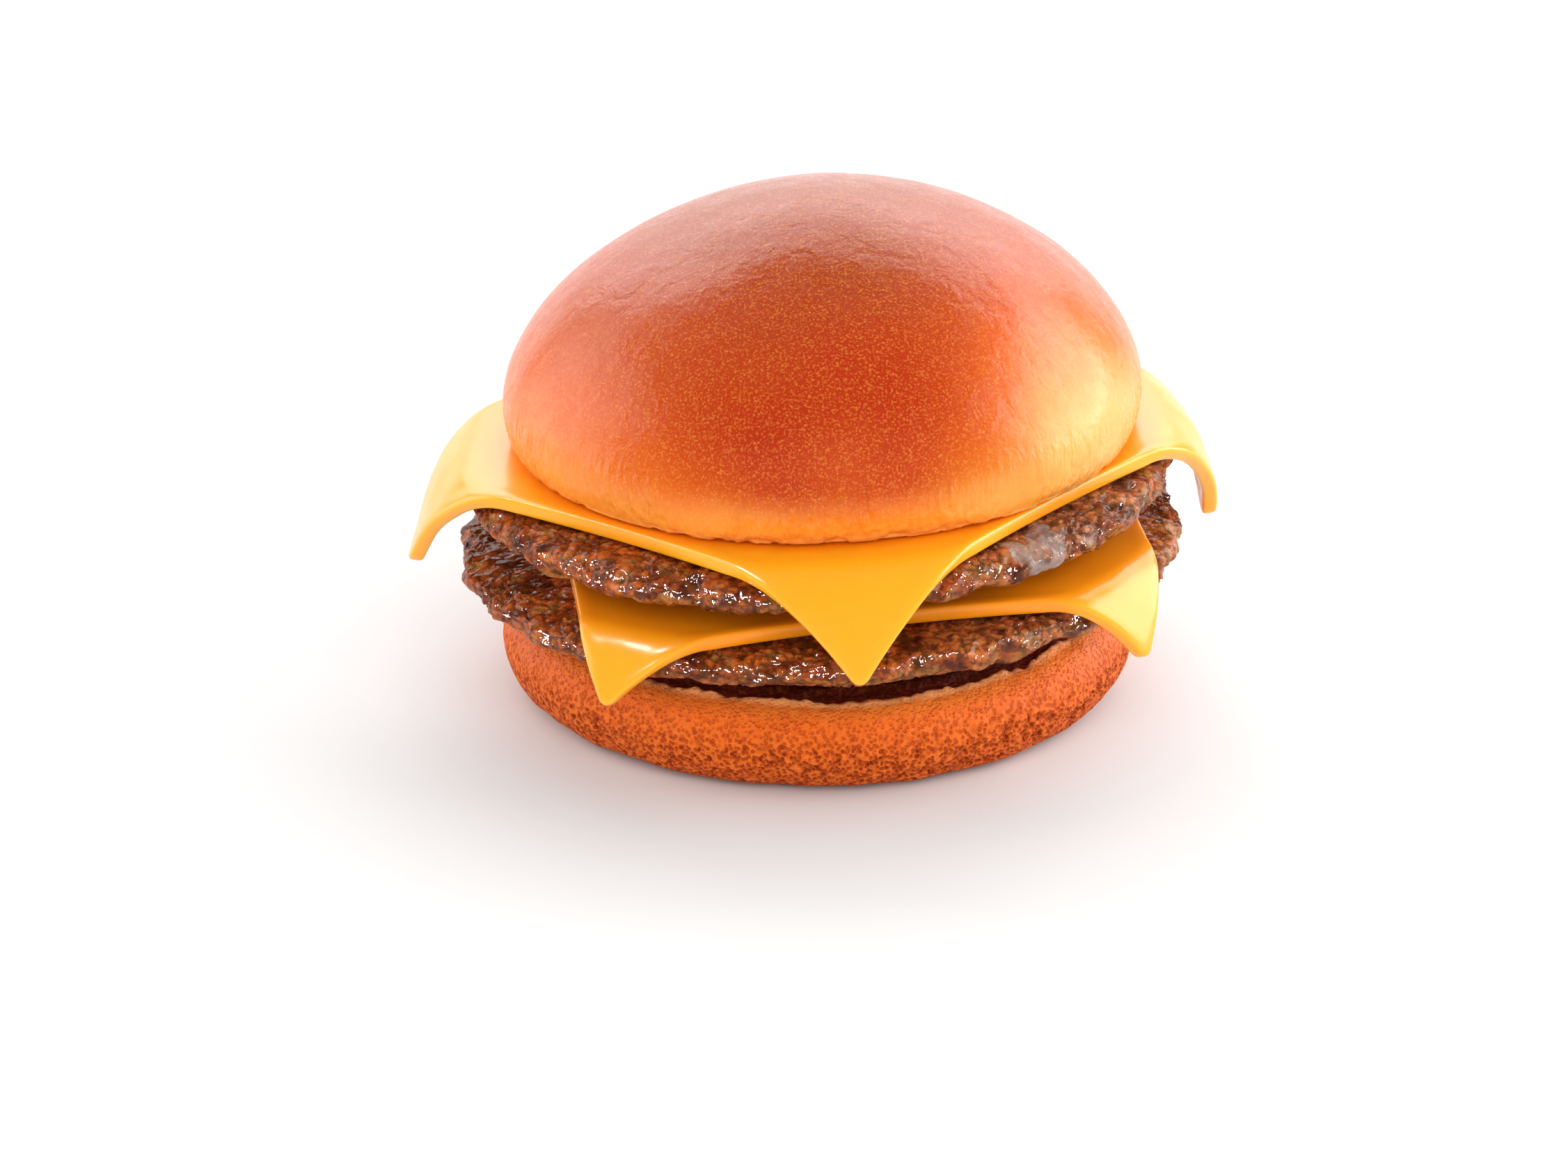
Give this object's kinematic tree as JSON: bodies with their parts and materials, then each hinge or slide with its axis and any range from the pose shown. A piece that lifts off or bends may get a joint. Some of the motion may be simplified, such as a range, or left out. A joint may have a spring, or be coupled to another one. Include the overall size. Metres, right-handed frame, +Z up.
{
  "type": "double cheeseburger",
  "caption": "Double cheeseburger with a round glazed bun, seared beef patties and draped cheese slices, stacked without a plate.",
  "frame": {"origin": "middle of the heel's flat base", "axes": "+Z up through the stack, -Y towards the eater, +X to the right seen from the eater"},
  "size_m": [0.1268, 0.1286, 0.0809],
  "materials": {
    "heel_crust": "porous baked crust, matte",
    "crown_crust": "glazed baked crust, satin",
    "beef": "seared ground beef, moist",
    "cheese": "soft processed cheese, waxy"
  },
  "bodies": {
    "root": {"heel": "heel_crust", "lower_patty": "beef", "lower_slice": "cheese", "upper_patty": "beef", "upper_slice": "cheese", "crown": "crown_crust"}
  },
  "joints": []
}
